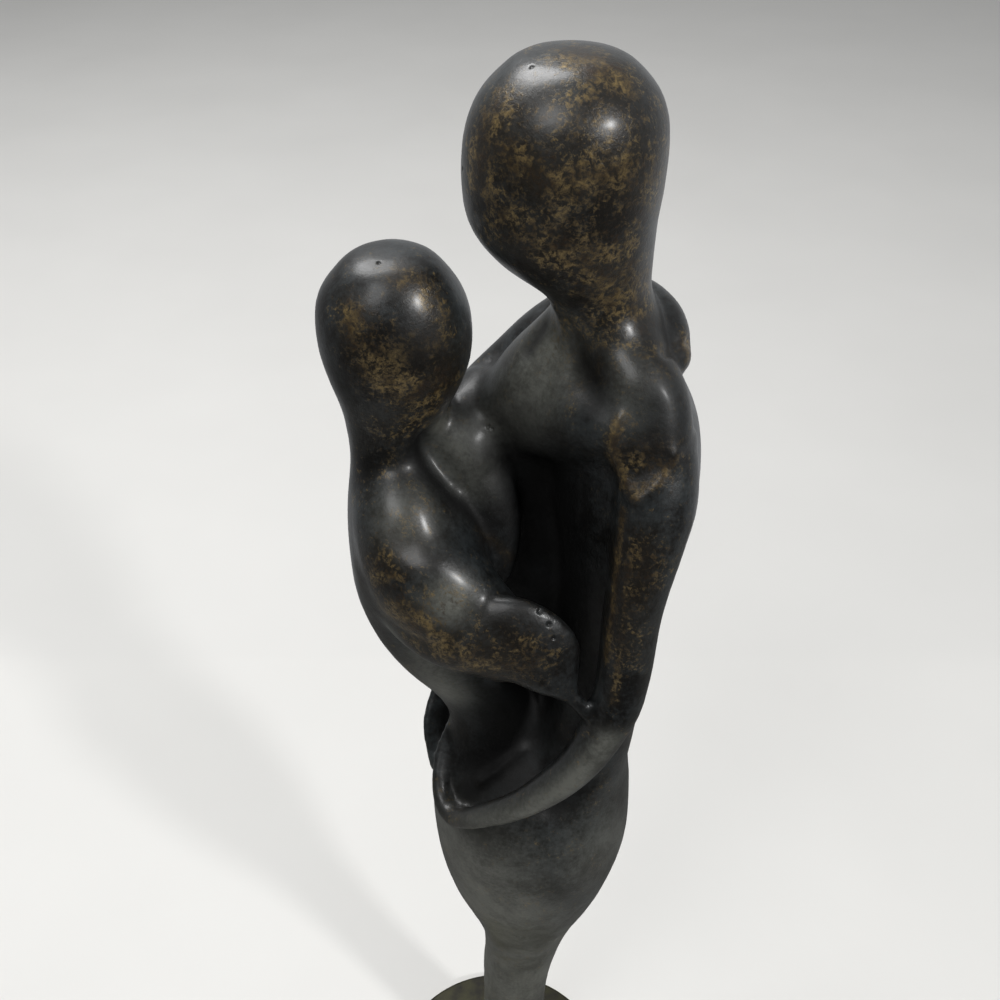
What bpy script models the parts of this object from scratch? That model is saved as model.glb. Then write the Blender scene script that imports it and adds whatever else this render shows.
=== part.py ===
"""Embracing couple: a cast bronze group of two faceless figures on a round base plate.

The taller figure stands on the right and the shorter one leans back on the left. They share one
tapering column of legs. X runs to the right across the group, Y away from its near side and Z up.
"""
import math

import bmesh
import bpy
import numpy as np
from mathutils import Vector

# Sizes, in metres
GROUP_HEIGHT = 0.4764         # soles to the crown of the taller head
BASE_DIAMETER = 0.100
BASE_THICKNESS = 0.0055
BASE_EDGE_ROUND = 0.0016
SEAT_GAP = 0.0003             # between the plate and the soles

# The figures are laid out in millimetres above the soles, for a group of this height
DRAWN_HEIGHT = 476.4
VOXEL = 1.5
BODY_SOFTNESS = 5.0           # how far the bodies melt into each other
SKIN_SOFTNESS = 1.2           # how far limbs and edges are rubbed down
GROUP_TRIANGLES = 8400
RING_SIDES = 40
BLEND_STEPS = 5               # rings between two stations
DOME_TURNS = (25, 50, 72, 86)   # degrees, for the rings that close a form's end
TALL_CROWN = 4.5              # heights of the domes that close the two heads
SMALL_CROWN = 4.8
NEAR_ARM_TIP = 3.0            # and the tips of the shorter figure's arms
FAR_ARM_TIP = 6.0
ARM_PINCH = 0.35              # how sharp the folded arm's edges are
MIDDLE_LINE = 10              # x of the group's upright middle line
STROKE_FALL = 1.5             # how fast a carved stroke fades within its reach
PLATE_SIDES = 96

# Colours of the patina and of the plate, linear
BRONZE_COLOUR = (0.035, 0.030, 0.024, 1.0)
PLATE_COLOUR = (0.050, 0.045, 0.030, 1.0)

# Upright forms: x, y, z of a level section's centre, then its half widths along x and y
LEGS_AND_HIPS = [
    (6, 1, -12, 15, 15),
    (6, 1, 12, 14.8, 14.8),
    (6, 1, 45, 13.8, 13.8),
    (6.5, 1, 72, 13.8, 13.8),
    (7.5, 1, 90, 14.8, 14.8),
    (9, 0.5, 104, 15.6, 16),
    (10.2, 0, 118, 17.2, 18),
    (11, 0, 132, 21.2, 21),
    (11.2, 0, 146, 26.6, 25.5),
    (11.3, 0, 160, 31.4, 29.5),
    (11.5, 0, 176, 35, 32),
    (11.8, 0, 193, 36.7, 33.5),
    (11.8, 0, 210, 36.2, 32),
    (13.5, 0, 226, 33, 25),
    (17, 2, 239, 27.5, 17),
    (21, 4, 250, 23, 11),
    (25, 5, 262, 18, 8),
]
TALL_TORSO = [
    (24, 0, 200, 21, 26),
    (27, 0, 225, 19, 25),
    (32, 0, 255, 17, 24),
    (36, 1, 285, 15.5, 26),
    (38, 2, 312, 17, 30),
    (38.8, 3, 331, 19.8, 33),
    (39, 3, 350, 21.5, 34),
    (38.8, 3, 368, 20, 33),
    (37, 2, 382, 15.6, 29),
    (33.5, 1, 395, 15, 22),
    (30, 0, 408, 13.5, 16),
]
TALL_HEAD = [
    (34, 0, 384, 18, 18),
    (30.5, 0, 400, 13.8, 14.5),
    (26.5, 0, 412, 14.8, 14.5),
    (20, 0, 422, 21.3, 18.8),
    (16.4, 0, 432, 25.1, 22.3),
    (16.2, 0, 444, 26.6, 24.3),
    (16.8, 0, 456, 26.4, 24.3),
    (17.5, 0, 465.5, 23.2, 21.6),
    (17.8, 0, 472.1, 17.2, 16),
]
CHEST = [
    (12, 13, 346, 13, 9),
    (12, 12, 356, 16, 12.5),
    (11.5, 10, 366, 17, 16),
    (12.5, 8, 376, 17, 17),
    (15.5, 6, 386, 15, 15.5),
    (18.5, 4, 396, 11, 11),
    (22, 3, 405, 7.5, 8.5),
]
SMALL_TORSO = [
    (3, 0, 190, 26, 26),
    (0, 0, 216, 22, 20),
    (0, 0, 234, 19, 15),
    (0, 0, 248, 18.5, 13),
    (-5.5, 0, 260, 19, 13),
    (-14.5, 0, 272, 19, 15),
    (-21.5, 0, 285, 19.3, 17.5),
    (-25, 0, 299, 20.5, 20),
    (-25, -2, 312, 22, 24),
    (-24.5, -3, 325, 22.7, 26),
    (-26, -2.5, 338, 21, 24),
    (-28.5, -1, 349, 17.5, 19),
    (-31.3, 0, 358, 13.2, 14),
]
SMALL_HEAD = [
    (-32, 0, 340, 13, 14),
    (-32.3, 0, 355, 12.5, 11.8),
    (-32, 0, 367, 13.5, 12.7),
    (-30, 0, 378, 17.2, 16),
    (-29.2, 0, 390, 21.4, 19),
    (-29.4, 0, 401, 22.3, 20),
    (-29.8, 0, 411, 20.2, 18),
    (-29.5, 0, 419, 14.6, 13.5),
]
# The wall between the two fronts, which closes the hollow inside the embrace
INNER_WALL = [
    (10, 2, 205, 24, 20),
    (10, 4, 230, 20, 12),
    (12, 8, 255, 20, 10),
    (10, 11, 285, 24, 10),
    (4, 13, 315, 26, 10),
    (2, 13, 340, 26, 11),
    (6, 12, 360, 22, 11),
]

# Forms along a path: x, y, z of a section's centre, its half height and its half thickness.
# The first five belong to the bodies, and the others are laid on them.
BREASTBONE = [
    (-14, 18, 356, 9, 9),
    (-3, 15, 359, 10, 10),
    (8, 9, 363, 11, 11),
    (17, -3, 371, 11.5, 12),
    (26, -14, 379, 11.5, 12),
    (35, -22, 384, 11, 11),
]
TALL_SHOULDER = [
    (31, -6, 398, 9, 10),
    (36, -12, 394, 11.5, 11.5),
    (39.5, -18, 386, 13, 13),
    (42, -24, 372, 12, 12),
]
SMALL_SHOULDER = [
    (-31, -4, 351, 13.5, 12.5),
    (-29.5, -9, 344.5, 16, 15.5),
    (-26.5, -14.5, 335.5, 18.5, 17),
    (-21, -20, 326, 19.5, 17.5),
    (-13, -25, 319, 18.5, 15.2),
    (-5, -28.5, 315.5, 15.5, 11.5),
    (2.5, -31, 313.5, 12, 8.5),
]
FAR_SHOULDER = [
    (-7.5, 1, 350, 10.5, 11),
    (-11.3, 4.5, 358, 12, 12.5),
    (-8, 12, 363, 11.5, 11.5),
    (-2, 19, 369, 10, 10),
]
HIP_SIDE = [
    (-12, -16, 212, 5, 5),
    (-13.5, -11, 220, 5.5, 5.5),
    (-14, -6, 229, 5, 5),
    (-12.5, -2, 238, 3.5, 3.5),
]
BREAST = [
    (-11, 3, 355, 8.5, 8.5),
    (-8, 1.5, 350, 9.4, 9.6),
    (-3.8, -1, 342.5, 8.6, 9.2),
    (-0.4, -3.6, 333.5, 6.8, 7.4),
    (0.9, -6, 325.5, 5, 5.4),
    (-0.2, -8, 317, 4, 4.4),
]
TALL_NEAR_ARM = [
    (42, -20, 376, 13, 12),
    (43.5, -27, 362, 12, 12),
    (42, -32, 350, 10.2, 11),
    (39.8, -35.5, 337, 8.8, 10),
    (38.3, -37, 324, 8.2, 9.5),
    (37.5, -38, 308, 8, 9),
    (35.5, -39.5, 291, 7.5, 8.5),
    (29.8, -41, 275.5, 6.2, 8),
    (22.8, -42, 263, 5.4, 7),
    (15, -41, 252.5, 4.9, 6.5),
    (6, -38.5, 241.5, 4.3, 5.5),
    (-3, -34.5, 232, 3.8, 4.8),
    (-11.5, -28.5, 222, 3.3, 4.2),
    (-17, -22.5, 216.5, 3.2, 3.8),
    (-20.5, -16.5, 218.5, 3, 3.4),
    (-21.5, -11, 225, 2.4, 3),
    (-20, -5, 233, 1.8, 2.4),
    (-16.5, 0, 242, 1.2, 1.6),
]
TALL_FAR_ARM = [
    (34, 4, 396, 10, 11),
    (40, 20, 384, 12, 12),
    (42.5, 30, 366, 11, 11),
    (42, 35, 350, 10, 10),
    (40, 38, 328, 9.5, 9.5),
    (37, 39, 306, 9, 9),
    (31, 40, 285, 8.5, 8),
    (21, 40, 267, 8.5, 7),
    (8, 38.5, 252, 8.8, 6),
    (-7, 34.5, 240, 9, 5),
    (-16.5, 29, 230, 9.5, 4),
    (-22.8, 21, 218, 9, 3.2),
    (-23, 12, 205, 6, 3),
]
SMALL_NEAR_ARM = [
    (-35, -14, 311, 8.5, 5),
    (-28, -21.5, 310, 10, 6.8),
    (-20, -28, 310.5, 11.5, 8.4),
    (-12, -31.8, 311.5, 13.5, 8.8),
    (-3.5, -33.6, 312.6, 16.5, 8.4),
    (4.5, -35, 312.2, 17.5, 7.6),
    (11.5, -36.8, 308.5, 14.8, 6.4),
    (16.3, -39, 302.3, 9.4, 4.8),
    (19.8, -40.3, 297.6, 4.6, 3.4),
]
# The thin fold that runs from the tip of the folded arm down to the forearm around it
TIP_FOLD = [
    (12, -37, 303, 5, 3),
    (17.5, -40, 299.5, 3.4, 2.6),
    (22.5, -41.5, 295, 2.6, 2.3),
    (27.5, -42, 287.5, 2.2, 2.2),
]
SMALL_FAR_ARM = [
    (-13, 12, 352, 9, 9),
    (-10.5, 16, 357, 10.5, 10),
    (-4.5, 21, 363.5, 10.2, 9.8),
    (5, 25, 373.5, 9, 9),
    (15, 24.5, 385.5, 8, 8),
    (26.5, 22, 395.3, 7.5, 7.5),
    (37.5, 16, 400, 7.5, 7.5),
    (45.5, 7, 397, 8, 7),
    (48, -2, 391.5, 7.5, 6),
]

# Carving: how deep a stroke goes (below zero, how far it stands out), its reach, and its path
CARVING = [
    # the V of ridges below the near shoulder, and the flattened cap inside it
    (-0.9, 3.5, [(31.5, -29, 388), (29.8, -29.5, 381), (31, -30, 374), (34, -32, 369), (38, -34, 366)]),
    (-0.9, 3.5, [(38, -34, 366), (42.5, -35, 372), (46.5, -31, 378)]),
    (2.0, 12.0, [(38.5, -25, 387), (38.5, -31, 377)]),
    # the hollow beside the long neck, and the cord of the neck in front of it
    (1.2, 7.0, [(21, -12, 399), (25, -18, 393), (28, -24, 389)]),
    (-1.0, 3.5, [(15.6, -7.7, 410), (18.2, -7.6, 401), (17, -10.5, 389)]),
    # the line between the two fingers of the hand on the nape
    (1.2, 2.4, [(43.5, -14.9, 399.4), (49.3, -6.7, 396.7), (54, -2, 396)]),
    # the shallow saddle between the near shoulder and the folded arm
    (1.6, 9.0, [(-25, -28, 345), (-14, -24, 347)]),
    (-1.4, 10.0, [(-18, -36, 321), (-12, -38, 316)]),
    # the gap between the far shoulder and the short figure's neck and front
    (2.4, 5.0, [(-21.9, -8.6, 367.6), (-20.5, -7.1, 361.2), (-17.6, -8.5, 356.8), (-14, -9.8, 352)]),
    # the groove between the breastbone and the far arm
    (0.8, 4.0, [(11.7, -0.2, 399.6), (7.5, -1.5, 394)]),
    # the slanting ridge across the belly, and the hem low on the legs
    (-1.6, 3.0, [(-6.3, -17.6, 228.6), (0, -16.7, 233.4), (6.9, -13.4, 241)]),
    (-0.4, 4.0, [(-6, -10, 114.5), (-1.2, -12.7, 116), (4, -16.7, 119), (12, -18.3, 121.7), (19, -16, 121)]),
    # the undercut below the forearm
    (1.4, 6.0, [(17, -26, 223), (24, -25, 228), (31, -24, 235)]),
]


def clear_scene():
    for item in list(bpy.data.objects):
        bpy.data.objects.remove(item)


def make_collection(name):
    group = bpy.data.collections.new(name)
    bpy.context.scene.collection.children.link(group)
    return group


def make_material(name, colour, roughness, metallic):
    material = bpy.data.materials.new(name)
    material.use_nodes = True
    shader = material.node_tree.nodes["Principled BSDF"]
    shader.inputs["Base Color"].default_value = colour
    shader.inputs["Roughness"].default_value = roughness
    shader.inputs["Metallic"].default_value = metallic
    return material


def in_between(stations):
    """Stations joined by a smooth Catmull-Rom curve, with BLEND_STEPS rings to each stretch."""
    ends = [stations[0]] + stations + [stations[-1]]
    rings = []
    for i in range(1, len(ends) - 2):
        before, here, there, after = ends[i - 1:i + 3]
        for step in range(BLEND_STEPS):
            t = step / BLEND_STEPS
            rings.append([
                0.5 * (2 * b + (c - a) * t + (2 * a - 5 * b + 4 * c - d) * t * t
                       + (3 * b - a - 3 * c + d) * t ** 3)
                for a, b, c, d in zip(before, here, there, after)
            ])
    return rings + [list(map(float, stations[-1]))]


def around():
    """The angles of a section's corners."""
    return [2 * math.pi * i / RING_SIDES for i in range(RING_SIDES)]


def add_skin(mesh, rings):
    """A closed skin over rings of points, with a point at the middle of each end."""
    loops = [[mesh.verts.new(p) for p in ring] for ring in rings]
    sides = len(loops[0])
    for low, high in zip(loops, loops[1:]):
        for i in range(sides):
            j = (i + 1) % sides
            mesh.faces.new((low[i], low[j], high[j], high[i]))
    for loop in (loops[0], loops[-1]):
        middle = mesh.verts.new(sum((v.co for v in loop), Vector()) / sides)
        for i in range(sides):
            mesh.faces.new((loop[i], loop[(i + 1) % sides], middle))


def dome(ring, centre, along, length):
    """Shrinking rings beyond the end of a form, which close it in a rounded tip."""
    rings = []
    for degrees in DOME_TURNS:
        turn = math.radians(degrees)
        rings.append([centre + (p - centre) * math.cos(turn) + along * length * math.sin(turn)
                      for p in ring])
    return rings


def upright_form(mesh, stations, foot=4.0, crown=4.0):
    """A form of level elliptical sections. foot and crown are the heights of its end domes."""
    rings = [
        [Vector((x + wide * math.cos(a), y + deep * math.sin(a), z)) for a in around()]
        for x, y, z, wide, deep in in_between(stations)
    ]
    below = dome(rings[0], Vector(stations[0][:3]), Vector((0, 0, -1)), foot)
    above = dome(rings[-1], Vector(stations[-1][:3]), Vector((0, 0, 1)), crown)
    add_skin(mesh, below[::-1] + rings + above)


def outward(point, along, last):
    """The direction through a limb's thickness: away from the group's upright middle line."""
    away = Vector((point.x - MIDDLE_LINE, point.y * 1.6, 0))
    away -= along * away.dot(along)
    mixed = last * 0.6 + away.normalized() * 0.4
    mixed -= along * mixed.dot(along)
    return mixed.normalized()


def path_form(mesh, stations, start=4.0, tip=4.0, pinch=0.0):
    """A form of sections square to its path. pinch sharpens its upper and lower edges."""
    rows = in_between(stations)
    centres = [Vector(row[:3]) for row in rows]
    rings = []
    out = Vector((0, -1, 0))
    for i, row in enumerate(rows):
        along = (centres[min(i + 1, len(rows) - 1)] - centres[max(i - 1, 0)]).normalized()
        out = outward(centres[i], along, out)
        edge = out.cross(along).normalized()
        rings.append([
            centres[i] + edge * row[3] * math.cos(a)
            + out * row[4] * math.sin(a) * abs(math.sin(a)) ** pinch
            for a in around()
        ])
        if i == 0:
            below = dome(rings[0], centres[0], -along, start)
    above = dome(rings[-1], centres[-1], along, tip)
    add_skin(mesh, below[::-1] + rings + above)


def apply_modifiers(item):
    graph = bpy.context.evaluated_depsgraph_get()
    data = bpy.data.meshes.new_from_object(item.evaluated_get(graph))
    item.modifiers.clear()
    old = item.data
    item.data = data
    bpy.data.meshes.remove(old)


def cast_in_one(item, mesh):
    """Melts the overlapping forms of a bmesh into one skin of even squares."""
    bmesh.ops.recalc_face_normals(mesh, faces=mesh.faces)
    mesh.to_mesh(item.data)
    mesh.free()
    remesh = item.modifiers.new("cast in one", "REMESH")
    remesh.mode = "VOXEL"
    remesh.voxel_size = VOXEL
    apply_modifiers(item)


def read_points(data):
    points = np.empty(len(data.vertices) * 3)
    data.vertices.foreach_get("co", points)
    return points.reshape(-1, 3)


def write_points(data, points):
    data.vertices.foreach_set("co", points.ravel())
    data.update()


def rub_down(data, softness):
    """Evens the skin out over about the given distance."""
    points = read_points(data)
    pairs = np.empty(len(data.edges) * 2, dtype=np.int64)
    data.edges.foreach_get("vertices", pairs)
    one, two = pairs.reshape(-1, 2).T
    share = np.bincount(one, minlength=len(points)) + np.bincount(two, minlength=len(points))
    for _ in range(max(1, round(2 * (softness / VOXEL) ** 2))):
        total = np.empty_like(points)
        for axis in range(3):
            total[:, axis] = (np.bincount(one, points[two, axis], len(points))
                              + np.bincount(two, points[one, axis], len(points)))
        points += 0.5 * (total / share[:, None] - points)
    write_points(data, points)


def distance_to_path(points, path):
    """How far each point is from a path of straight stretches, whose ends are moved onto the skin."""
    path = [points[np.argmin(np.linalg.norm(points - place, axis=1))] for place in path]
    best = np.linalg.norm(points - path[0], axis=1)
    for start, end in zip(path, path[1:]):
        run = end - start
        share = np.clip((points - start) @ run / (run @ run), 0, 1)
        best = np.minimum(best, np.linalg.norm(points - start - share[:, None] * run, axis=1))
    return best


def carve(data):
    """Sinks or raises the skin along each stroke of CARVING, most at the middle of the stroke."""
    for depth, reach, path in CARVING:
        points = read_points(data)
        normals = np.empty(len(points) * 3, dtype=np.float32)
        data.vertex_normals.foreach_get("vector", normals)
        share = np.exp(-(distance_to_path(points, path) / reach * STROKE_FALL) ** 2)
        points -= normals.reshape(-1, 3) * (depth * share)[:, None]
        write_points(data, points)


def cut_soles(mesh):
    """Cuts the column off flat at the soles."""
    everything = mesh.verts[:] + mesh.edges[:] + mesh.faces[:]
    bmesh.ops.bisect_plane(mesh, geom=everything, plane_co=(0, 0, 0), plane_no=(0, 0, 1), clear_inner=True)
    rim = [edge for edge in mesh.edges if edge.is_boundary]
    sole = bmesh.ops.edgeloop_fill(mesh, edges=rim)["faces"]
    bmesh.ops.triangulate(mesh, faces=sole)
    bmesh.ops.recalc_face_normals(mesh, faces=mesh.faces)


def build_group(collection, material):
    item = bpy.data.objects.new("embracing_couple", bpy.data.meshes.new("embracing_couple"))
    collection.objects.link(item)

    mesh = bmesh.new()
    for stations in (LEGS_AND_HIPS, TALL_TORSO, CHEST, SMALL_TORSO, INNER_WALL):
        upright_form(mesh, stations)
    upright_form(mesh, TALL_HEAD, crown=TALL_CROWN)
    upright_form(mesh, SMALL_HEAD, crown=SMALL_CROWN)
    for stations in (BREASTBONE, TALL_SHOULDER, SMALL_SHOULDER, FAR_SHOULDER, HIP_SIDE):
        path_form(mesh, stations)
    cast_in_one(item, mesh)
    rub_down(item.data, BODY_SOFTNESS)

    mesh = bmesh.new()
    mesh.from_mesh(item.data)
    for stations in (BREAST, TALL_NEAR_ARM, TALL_FAR_ARM, TIP_FOLD):
        path_form(mesh, stations)
    path_form(mesh, SMALL_NEAR_ARM, tip=NEAR_ARM_TIP, pinch=ARM_PINCH)
    path_form(mesh, SMALL_FAR_ARM, tip=FAR_ARM_TIP)
    cast_in_one(item, mesh)
    rub_down(item.data, SKIN_SOFTNESS)
    carve(item.data)

    thin = item.modifiers.new("facets", "DECIMATE")
    thin.ratio = GROUP_TRIANGLES / (2 * len(item.data.polygons))
    apply_modifiers(item)
    mesh = bmesh.new()
    mesh.from_mesh(item.data)
    cut_soles(mesh)
    size = GROUP_HEIGHT / DRAWN_HEIGHT
    bmesh.ops.scale(mesh, vec=(size, size, size), verts=mesh.verts)
    mesh.to_mesh(item.data)
    mesh.free()
    item.data.shade_smooth()
    item.data.materials.append(material)
    item.location.z = BASE_THICKNESS + SEAT_GAP


def build_base(collection, material):
    mesh = bmesh.new()
    bmesh.ops.create_cone(mesh, cap_ends=True, segments=PLATE_SIDES, radius1=BASE_DIAMETER / 2,
                          radius2=BASE_DIAMETER / 2, depth=BASE_THICKNESS)
    data = bpy.data.meshes.new("base_plate")
    mesh.to_mesh(data)
    mesh.free()
    data.materials.append(material)
    item = bpy.data.objects.new("base_plate", data)
    collection.objects.link(item)
    item.location.z = BASE_THICKNESS / 2
    bevel = item.modifiers.new("softened edge", "BEVEL")
    bevel.width = BASE_EDGE_ROUND
    bevel.segments = 2
    bevel.limit_method = "ANGLE"
    bevel.angle_limit = math.radians(50)


def main():
    clear_scene()
    parts = make_collection("embracing couple sculpture")
    build_base(parts, make_material("plate bronze", PLATE_COLOUR, 0.4, 0.9))
    build_group(parts, make_material("patinated bronze", BRONZE_COLOUR, 0.3, 0.9))


main()
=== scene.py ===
# Embracing couple: a lost-wax bronze group of two faceless figures on a thin round plate.
# Layout numbers for the figures are millimetres above the soles: x right, y away, z up.
import math

import bmesh
import bpy
import numpy as np
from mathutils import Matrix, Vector, noise


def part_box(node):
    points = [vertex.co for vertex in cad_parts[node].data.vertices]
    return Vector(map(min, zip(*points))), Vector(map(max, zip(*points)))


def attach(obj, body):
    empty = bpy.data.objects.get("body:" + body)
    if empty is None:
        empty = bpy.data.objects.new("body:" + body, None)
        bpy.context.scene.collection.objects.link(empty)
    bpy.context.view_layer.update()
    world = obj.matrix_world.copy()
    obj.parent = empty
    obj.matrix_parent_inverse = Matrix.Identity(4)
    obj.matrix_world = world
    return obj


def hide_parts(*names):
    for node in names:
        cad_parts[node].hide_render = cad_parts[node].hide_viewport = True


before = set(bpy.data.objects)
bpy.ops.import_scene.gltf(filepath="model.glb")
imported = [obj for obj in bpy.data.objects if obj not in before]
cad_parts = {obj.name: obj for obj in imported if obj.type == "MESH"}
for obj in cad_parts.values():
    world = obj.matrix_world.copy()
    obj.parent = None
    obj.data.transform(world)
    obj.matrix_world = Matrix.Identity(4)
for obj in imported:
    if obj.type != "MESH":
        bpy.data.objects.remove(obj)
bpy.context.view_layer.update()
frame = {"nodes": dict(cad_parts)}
print("frame loaded:", ", ".join(frame["nodes"]))

# Camera: held a little above the heads, looking down at the group
photoView = {
    "place": (0.0, -0.305, 0.579),   # metres
    "downTilt": 37.5,                # degrees below level
    "focalShare": 1.25,              # focal length over the picture's width
    "sensor": 36,                    # mm
    "nearest": 0.01,                 # metres
}


def setCamera():
    data = bpy.data.cameras.new("photoCamera")
    data.sensor_width = photoView["sensor"]
    data.lens = data.sensor_width * photoView["focalShare"]
    data.clip_start = photoView["nearest"]
    camera = bpy.data.objects.new("photoCamera", data)
    camera.location = photoView["place"]
    camera.rotation_euler = (math.radians(90 - photoView["downTilt"]), 0, 0)
    bpy.context.collection.objects.link(camera)
    bpy.context.scene.camera = camera


setCamera()
print("camera set")


def hexLinear(code):
    channels = [int(code[i:i + 2], 16) / 255 for i in (1, 3, 5)]
    return [c / 12.92 if c <= 0.04045 else ((c + 0.055) / 1.055) ** 2.4 for c in channels] + [1.0]


def perMm(size):
    return 1000 / size               # texture scale for a pattern this many millimetres across


def addNode(tree, kind, settings=None, links=None):
    node = tree.nodes.new("ShaderNode" + kind)
    for name, value in (settings or {}).items():
        if isinstance(name, str) and hasattr(node, name):
            setattr(node, name, value)
        else:
            node.inputs[name].default_value = value
    for name, source in (links or {}).items():
        tree.links.new(source, node.inputs[name])
    return node


# Stage: a pale seamless floor and soft light, brightest from the front right and from above
stageLook = {
    "floorSize": 6.0,                # metres
    "floorPale": "#E5E4E1",
    "floorShade": "#DCDBD8",
    "floorCloud": 160,               # mm
    "floorDetail": 3,
    "floorRough": 0.7,
    "glowColour": "#F4F6F8",
    "frontGlow": 0.05,               # the side behind the camera is dim
    "backGlow": 0.50,                # the side behind the couple is pale
    "frontToBack": (-0.6, 0.6),      # where on the sky the one turns into the other
    "topGlow": 0.22,
    "topStart": (0.35, 0.9),
    "leftDim": 0.4,                  # share of the glow left on the far left
    "leftToRight": (-0.9, 0.1),
    "floorInGloss": ((-0.55, -0.24), (0.55, 0.28)),   # corners of the floor that the gloss sees
    "lights": [
        # name, place, size, watts
        ("key window", (0.98, -0.98, 1.16), 0.16, 10),
        ("ceiling bank", (-0.55, 0.55, 1.75), 1.1, 27),
        ("front fill", (-0.5, -0.9, 1.5), 0.7, 5),
    ],
    "aim": (0.0, 0.0, 0.34),
}


def softFloor():
    half = stageLook["floorSize"] / 2
    mesh = bmesh.new()
    bmesh.ops.create_grid(mesh, x_segments=1, y_segments=1, size=half)
    data = bpy.data.meshes.new("paleFloor")
    mesh.to_mesh(data)
    mesh.free()
    material = bpy.data.materials.new("matt white laminate")   # a soft even white with hardly any shine
    material.use_nodes = True
    tree = material.node_tree
    shader = tree.nodes["Principled BSDF"]
    place = addNode(tree, "TexCoord").outputs["Object"]
    cloud = addNode(tree, "TexNoise", {"Scale": perMm(stageLook["floorCloud"]),
                                       "Detail": stageLook["floorDetail"]}, {"Vector": place})
    tone = addNode(tree, "Mix", {"data_type": "RGBA", 6: hexLinear(stageLook["floorShade"]),
                                 7: hexLinear(stageLook["floorPale"])}, {0: cloud.outputs[0]})
    tree.links.new(tone.outputs[2], shader.inputs["Base Color"])
    shader.inputs["Roughness"].default_value = stageLook["floorRough"]
    data.materials.append(material)
    floor = bpy.data.objects.new("paleFloor", data)
    bpy.context.collection.objects.link(floor)
    floor.visible_glossy = False
    # what the gloss sees instead: the same surface cut small, so that only its near part shines back
    card = bpy.data.objects.new("floorInTheGloss", data.copy())
    bpy.context.collection.objects.link(card)
    low, high = stageLook["floorInGloss"]
    for v in card.data.vertices:
        v.co.x = low[0] if v.co.x < 0 else high[0]
        v.co.y = low[1] if v.co.y < 0 else high[1]
    card.visible_camera = card.visible_diffuse = card.visible_shadow = card.visible_transmission = False


def softLight():
    for name, place, size, watts in stageLook["lights"]:
        data = bpy.data.lights.new(name, "AREA")
        data.shape = "DISK"
        data.size = size
        data.energy = watts
        light = bpy.data.objects.new(name, data)
        light.location = place
        aim = Vector(stageLook["aim"]) - Vector(place)
        light.rotation_euler = aim.to_track_quat("-Z", "Y").to_euler()
        bpy.context.collection.objects.link(light)
    world = bpy.data.worlds.new("soft studio")
    world.use_nodes = True
    tree = world.node_tree
    toward = addNode(tree, "SeparateXYZ", links={0: addNode(tree, "TexCoord").outputs["Generated"]})
    low, high = stageLook["frontToBack"]
    level = addNode(tree, "MapRange", {1: low, 2: high, 3: stageLook["frontGlow"], 4: stageLook["backGlow"],
                                       "interpolation_type": "SMOOTHSTEP"}, {0: toward.outputs["Y"]})
    low, high = stageLook["topStart"]
    lift = addNode(tree, "MapRange", {1: low, 2: high, 3: 0.0, 4: 1.0}, {0: toward.outputs["Z"]})
    blend = addNode(tree, "Mix", {3: stageLook["topGlow"]}, {0: lift.outputs[0], 2: level.outputs[0]})
    low, high = stageLook["leftToRight"]
    side = addNode(tree, "MapRange", {1: low, 2: high, 3: stageLook["leftDim"], 4: 1.0},
                   {0: toward.outputs["X"]})
    strength = addNode(tree, "Math", {"operation": "MULTIPLY"}, {0: blend.outputs[0], 1: side.outputs[0]})
    glow = tree.nodes["Background"]
    glow.inputs["Color"].default_value = hexLinear(stageLook["glowColour"])
    tree.links.new(strength.outputs[0], glow.inputs["Strength"])
    bpy.context.scene.world = world


softFloor()
softLight()
print("floor and lights set")

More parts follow.
